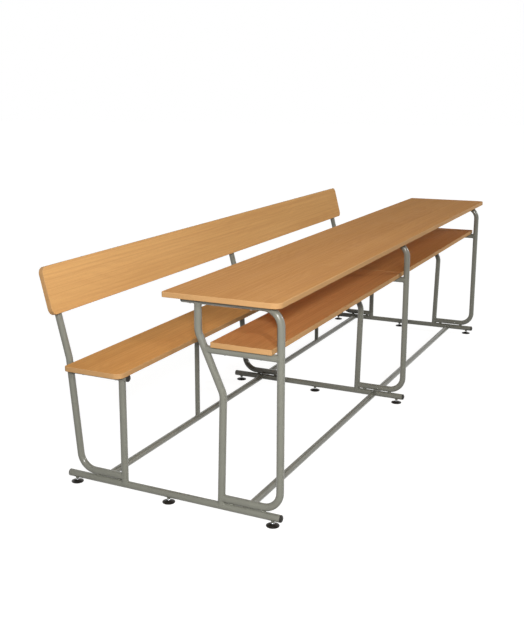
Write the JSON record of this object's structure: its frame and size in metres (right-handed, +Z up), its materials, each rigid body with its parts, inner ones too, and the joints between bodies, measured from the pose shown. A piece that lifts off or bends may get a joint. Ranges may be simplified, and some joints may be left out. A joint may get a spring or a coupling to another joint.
{
  "type": "school desk with bench",
  "caption": "Long school desk with a book shelf and a joined bench with a leaning backrest, on welded tube frames with screw-in levelling feet.",
  "frame": {"origin": "on the floor, under the middle of the whole object", "axes": "+X along the length, towards the end that is far in the picture; +Y from the desk to the bench; +Z up"},
  "size_m": [2.8, 0.9194, 0.7886],
  "materials": {
    "beech": "satin lacquered beech, long grain along the desk",
    "paint": "smooth satin powder coat, warm grey",
    "black_plastic": "black moulded plastic",
    "zinc": "bright zinc plated steel"
  },
  "bodies": {
    "frame": {"desk_top": "beech", "near_shelf": "beech", "far_shelf": "beech", "seat": "beech", "backrest": "beech", "near_foot_tube": "paint", "near_desk_loop": "paint", "near_desk_rear_leg": "paint", "near_shelf_support": "paint", "near_bench_front_leg": "paint", "near_bench_upright": "paint", "near_seat_support": "paint", "near_desk_tube_plug": "black_plastic", "near_seat_tube_plug": "black_plastic", "near_foot_tube_plug": "black_plastic", "middle_foot_tube": "paint", "middle_desk_loop": "paint", "middle_desk_rear_leg": "paint", "middle_shelf_support": "paint", "middle_bench_front_leg": "paint", "middle_bench_upright": "paint", "middle_seat_support": "paint", "middle_desk_tube_plug": "black_plastic", "middle_seat_tube_plug": "black_plastic", "middle_foot_tube_plug": "black_plastic", "far_foot_tube": "paint", "far_desk_loop": "paint", "far_desk_rear_leg": "paint", "far_shelf_support": "paint", "far_bench_front_leg": "paint", "far_bench_upright": "paint", "far_seat_support": "paint", "far_desk_tube_plug": "black_plastic", "far_seat_tube_plug": "black_plastic", "far_foot_tube_plug": "black_plastic", "near_desk_rail": "paint", "near_bench_rail": "paint", "near_seat_post": "paint", "far_desk_rail": "paint", "far_bench_rail": "paint", "far_seat_post": "paint"},
    "near_front_pad": {"near_front_pad": "black_plastic"},
    "near_front_stem": {"near_front_stem": "zinc"},
    "near_middle_pad": {"near_middle_pad": "black_plastic"},
    "near_middle_stem": {"near_middle_stem": "zinc"},
    "near_rear_pad": {"near_rear_pad": "black_plastic"},
    "near_rear_stem": {"near_rear_stem": "zinc"},
    "middle_front_pad": {"middle_front_pad": "black_plastic"},
    "middle_front_stem": {"middle_front_stem": "zinc"},
    "middle_middle_pad": {"middle_middle_pad": "black_plastic"},
    "middle_middle_stem": {"middle_middle_stem": "zinc"},
    "middle_rear_pad": {"middle_rear_pad": "black_plastic"},
    "middle_rear_stem": {"middle_rear_stem": "zinc"},
    "far_front_pad": {"far_front_pad": "black_plastic"},
    "far_front_stem": {"far_front_stem": "zinc"},
    "far_middle_pad": {"far_middle_pad": "black_plastic"},
    "far_middle_stem": {"far_middle_stem": "zinc"},
    "far_rear_pad": {"far_rear_pad": "black_plastic"},
    "far_rear_stem": {"far_rear_stem": "zinc"}
  },
  "joints": [
    {"name": "near_front_foot_height", "type": "slide", "parent": "frame", "child": "near_front_pad", "axis": [0, 0, -1], "range_m": [-0.00125, 0.0125]},
    {"name": "near_front_foot_turn", "type": "hinge", "parent": "near_front_pad", "child": "near_front_stem", "pos_m": [-1.335, -0.41271, 0.02], "axis": [0, 0, -1], "range_deg": [-360, 3600]},
    {"name": "near_middle_foot_height", "type": "slide", "parent": "frame", "child": "near_middle_pad", "axis": [0, 0, -1], "range_m": [-0.00125, 0.0125]},
    {"name": "near_middle_foot_turn", "type": "hinge", "parent": "near_middle_pad", "child": "near_middle_stem", "pos_m": [-1.335, -0.02464, 0.02], "axis": [0, 0, -1], "range_deg": [-360, 3600]},
    {"name": "near_rear_foot_height", "type": "slide", "parent": "frame", "child": "near_rear_pad", "axis": [0, 0, -1], "range_m": [-0.00125, 0.0125]},
    {"name": "near_rear_foot_turn", "type": "hinge", "parent": "near_rear_pad", "child": "near_rear_stem", "pos_m": [-1.335, 0.35574, 0.02], "axis": [0, 0, -1], "range_deg": [-360, 3600]},
    {"name": "middle_front_foot_height", "type": "slide", "parent": "frame", "child": "middle_front_pad", "axis": [0, 0, -1], "range_m": [-0.00125, 0.0125]},
    {"name": "middle_front_foot_turn", "type": "hinge", "parent": "middle_front_pad", "child": "middle_front_stem", "pos_m": [0, -0.41271, 0.02], "axis": [0, 0, -1], "range_deg": [-360, 3600]},
    {"name": "middle_middle_foot_height", "type": "slide", "parent": "frame", "child": "middle_middle_pad", "axis": [0, 0, -1], "range_m": [-0.00125, 0.0125]},
    {"name": "middle_middle_foot_turn", "type": "hinge", "parent": "middle_middle_pad", "child": "middle_middle_stem", "pos_m": [0, -0.02464, 0.02], "axis": [0, 0, -1], "range_deg": [-360, 3600]},
    {"name": "middle_rear_foot_height", "type": "slide", "parent": "frame", "child": "middle_rear_pad", "axis": [0, 0, -1], "range_m": [-0.00125, 0.0125]},
    {"name": "middle_rear_foot_turn", "type": "hinge", "parent": "middle_rear_pad", "child": "middle_rear_stem", "pos_m": [0, 0.35574, 0.02], "axis": [0, 0, -1], "range_deg": [-360, 3600]},
    {"name": "far_front_foot_height", "type": "slide", "parent": "frame", "child": "far_front_pad", "axis": [0, 0, -1], "range_m": [-0.00125, 0.0125]},
    {"name": "far_front_foot_turn", "type": "hinge", "parent": "far_front_pad", "child": "far_front_stem", "pos_m": [1.335, -0.41271, 0.02], "axis": [0, 0, -1], "range_deg": [-360, 3600]},
    {"name": "far_middle_foot_height", "type": "slide", "parent": "frame", "child": "far_middle_pad", "axis": [0, 0, -1], "range_m": [-0.00125, 0.0125]},
    {"name": "far_middle_foot_turn", "type": "hinge", "parent": "far_middle_pad", "child": "far_middle_stem", "pos_m": [1.335, -0.02464, 0.02], "axis": [0, 0, -1], "range_deg": [-360, 3600]},
    {"name": "far_rear_foot_height", "type": "slide", "parent": "frame", "child": "far_rear_pad", "axis": [0, 0, -1], "range_m": [-0.00125, 0.0125]},
    {"name": "far_rear_foot_turn", "type": "hinge", "parent": "far_rear_pad", "child": "far_rear_stem", "pos_m": [1.335, 0.35574, 0.02], "axis": [0, 0, -1], "range_deg": [-360, 3600]}
  ],
  "couplings": [
    {"joint": "near_front_foot_turn", "follows": "near_front_foot_height", "rad_per_m": 5026.5},
    {"joint": "near_middle_foot_turn", "follows": "near_middle_foot_height", "rad_per_m": 5026.5},
    {"joint": "near_rear_foot_turn", "follows": "near_rear_foot_height", "rad_per_m": 5026.5},
    {"joint": "middle_front_foot_turn", "follows": "middle_front_foot_height", "rad_per_m": 5026.5},
    {"joint": "middle_middle_foot_turn", "follows": "middle_middle_foot_height", "rad_per_m": 5026.5},
    {"joint": "middle_rear_foot_turn", "follows": "middle_rear_foot_height", "rad_per_m": 5026.5},
    {"joint": "far_front_foot_turn", "follows": "far_front_foot_height", "rad_per_m": 5026.5},
    {"joint": "far_middle_foot_turn", "follows": "far_middle_foot_height", "rad_per_m": 5026.5},
    {"joint": "far_rear_foot_turn", "follows": "far_rear_foot_height", "rad_per_m": 5026.5}
  ]
}
